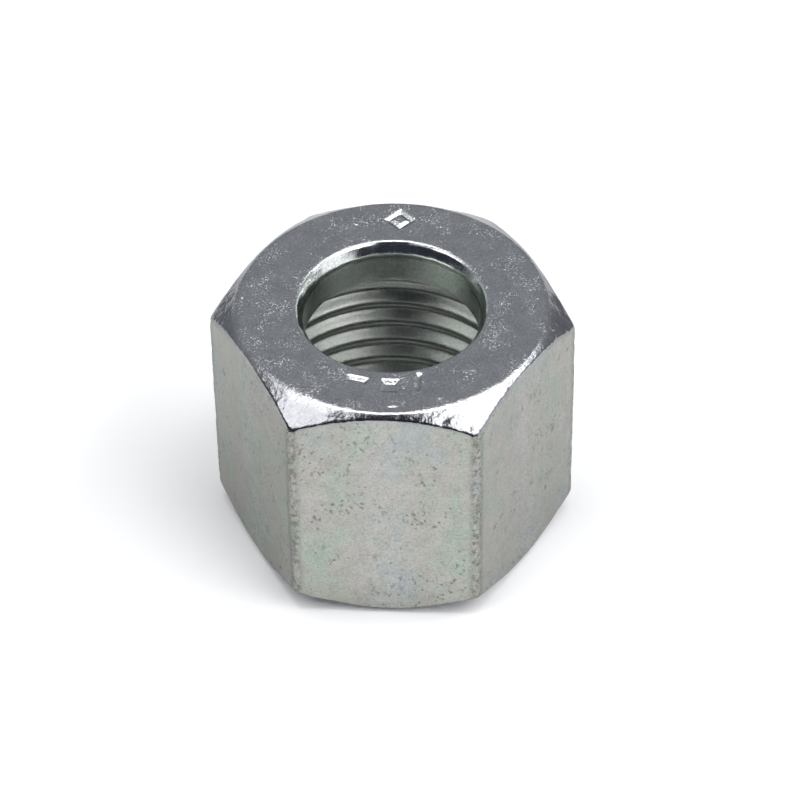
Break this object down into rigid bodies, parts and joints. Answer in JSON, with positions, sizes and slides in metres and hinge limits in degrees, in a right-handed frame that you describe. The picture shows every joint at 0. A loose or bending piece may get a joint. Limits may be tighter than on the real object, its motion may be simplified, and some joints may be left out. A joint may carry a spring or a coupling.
{
  "type": "hex union nut",
  "caption": "Hexagonal union nut for a cutting-ring tube fitting, with a tube bore and inner cone at one end and a fine metric thread at the other.",
  "frame": {"origin": "on the nut's axis, in the plane of the threaded mouth", "axes": "+Z along the axis towards the tube; two of the six flats face along Y"},
  "size_m": [0.0212, 0.0186, 0.016],
  "materials": {
    "zinc_plated_steel": "bright zinc plated, clear passivated"
  },
  "bodies": {
    "root": {"nut_body": "zinc_plated_steel"}
  },
  "joints": []
}
